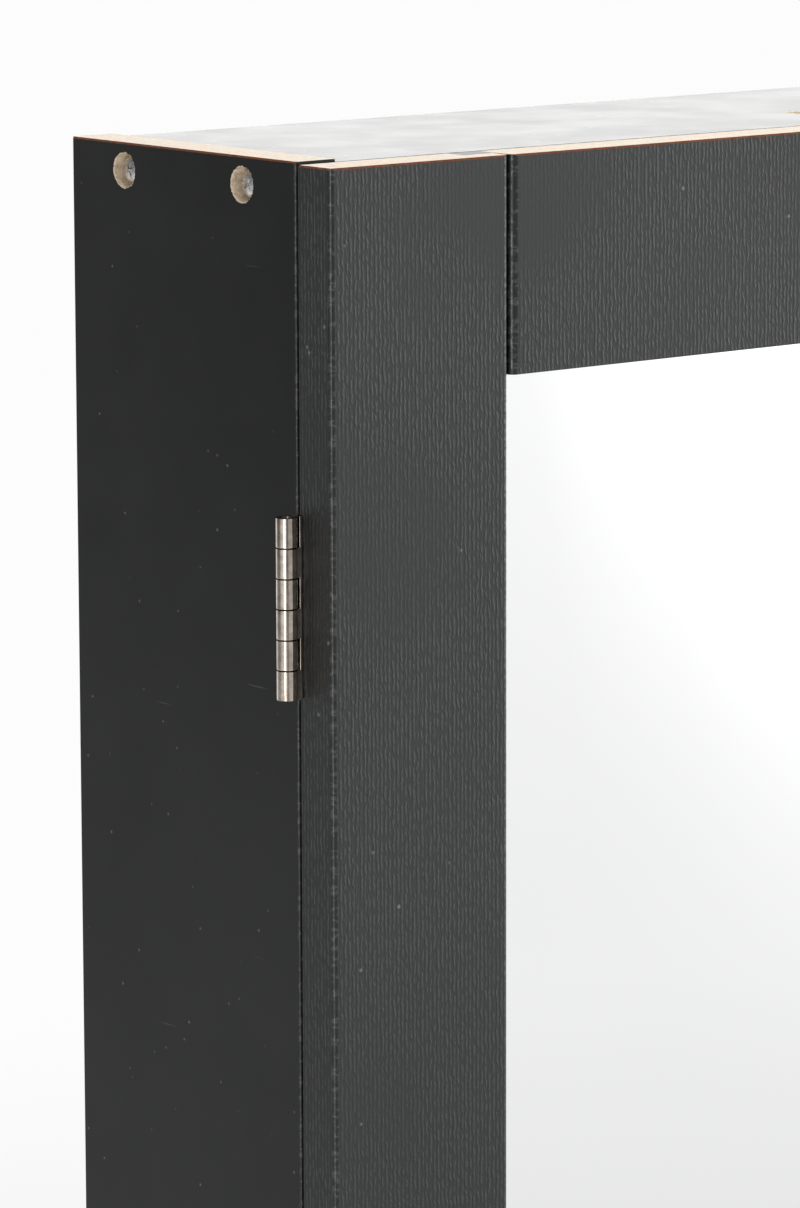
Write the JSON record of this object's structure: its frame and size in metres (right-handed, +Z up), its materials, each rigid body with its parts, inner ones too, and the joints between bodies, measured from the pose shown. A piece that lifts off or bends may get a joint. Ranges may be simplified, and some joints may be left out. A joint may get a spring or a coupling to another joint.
{
  "type": "jewelry mirror cabinet",
  "caption": "Shallow wall-hung cabinet with a framed mirror door on butt hinges; inside are necklace hooks, earring bars, a ring cushion, a bracelet rod and shelves.",
  "frame": {"origin": "middle of the hanging rail's rear face, which lies on the wall", "axes": "+Z up; +Y from the cabinet into the wall, so the mirror door faces -Y; +X to the right for someone facing the door, whose hinges are on -X"},
  "size_m": [0.3762, 0.1019, 1.2],
  "materials": {
    "smooth_foil": "MDF board wrapped in smooth satin black foil",
    "grained_foil": "MDF profile wrapped in black foil with fine embossed lengthwise grain",
    "velvet": "black velvet",
    "nickel": "nickel plate, lightly polished",
    "zinc_steel": "bright zinc plate",
    "mirror": "silvered float glass",
    "beech": "plain beech",
    "black_plastic": "moulded black plastic"
  },
  "bodies": {
    "cabinet": {"side_panel_left": "smooth_foil", "side_panel_right": "smooth_foil", "top_panel": "smooth_foil", "bottom_panel": "smooth_foil", "back_panel": "velvet", "hanging_rail": "smooth_foil", "hanger_plate_left": "zinc_steel", "hanger_plate_right": "zinc_steel", "center_divider": "smooth_foil", "shelf_upper": "smooth_foil", "shelf_middle": "smooth_foil", "shelf_lower": "smooth_foil", "shelf_ledge": "smooth_foil", "floor_ledge": "smooth_foil", "panel_screw_left_top_front": "zinc_steel", "panel_screw_left_top_back": "zinc_steel", "panel_screw_left_bottom_front": "zinc_steel", "panel_screw_left_bottom_back": "zinc_steel", "panel_screw_right_top_front": "zinc_steel", "panel_screw_right_top_back": "zinc_steel", "panel_screw_right_bottom_front": "zinc_steel", "panel_screw_right_bottom_back": "zinc_steel", "divider_screw": "zinc_steel", "hook_strip": "smooth_foil", "necklace_hook_1": "nickel", "necklace_hook_2": "nickel", "necklace_hook_3": "nickel", "necklace_hook_4": "nickel", "necklace_hook_5": "nickel", "necklace_hook_6": "nickel", "earring_bar_upper": "smooth_foil", "earring_bar_lower": "smooth_foil", "ring_cushion": "velvet", "bracelet_rod": "smooth_foil", "catch_housing": "black_plastic", "hinge_top_frame_leaf": "nickel", "hinge_top_pin": "nickel", "hinge_middle_frame_leaf": "nickel", "hinge_middle_pin": "nickel", "hinge_bottom_frame_leaf": "nickel", "hinge_bottom_pin": "nickel"},
    "door": {"door_stile_left": "grained_foil", "door_stile_right": "grained_foil", "door_rail_top": "grained_foil", "door_rail_bottom": "grained_foil", "frame_dowel_top_left": "beech", "frame_dowel_top_right": "beech", "frame_dowel_bottom_left": "beech", "frame_dowel_bottom_right": "beech", "mirror_glass": "mirror", "mirror_backing": "velvet", "catch_strike": "zinc_steel", "lock_housing": "nickel", "lock_nut": "zinc_steel", "hinge_top_door_leaf": "nickel", "hinge_middle_door_leaf": "nickel", "hinge_bottom_door_leaf": "nickel"},
    "lock_core": {"lock_plug": "nickel", "lock_cam": "zinc_steel", "cam_screw": "zinc_steel"}
  },
  "joints": [
    {"name": "door_hinge", "type": "hinge", "parent": "cabinet", "child": "door", "pos_m": [-0.1885, -0.0876, 0], "axis": [0, 0, -1], "range_deg": [0, 180]},
    {"name": "lock_turn", "type": "hinge", "parent": "door", "child": "lock_core", "pos_m": [0.15864, -0.1, -0.5039], "axis": [0, -1, 0], "range_deg": [0, 90]}
  ]
}
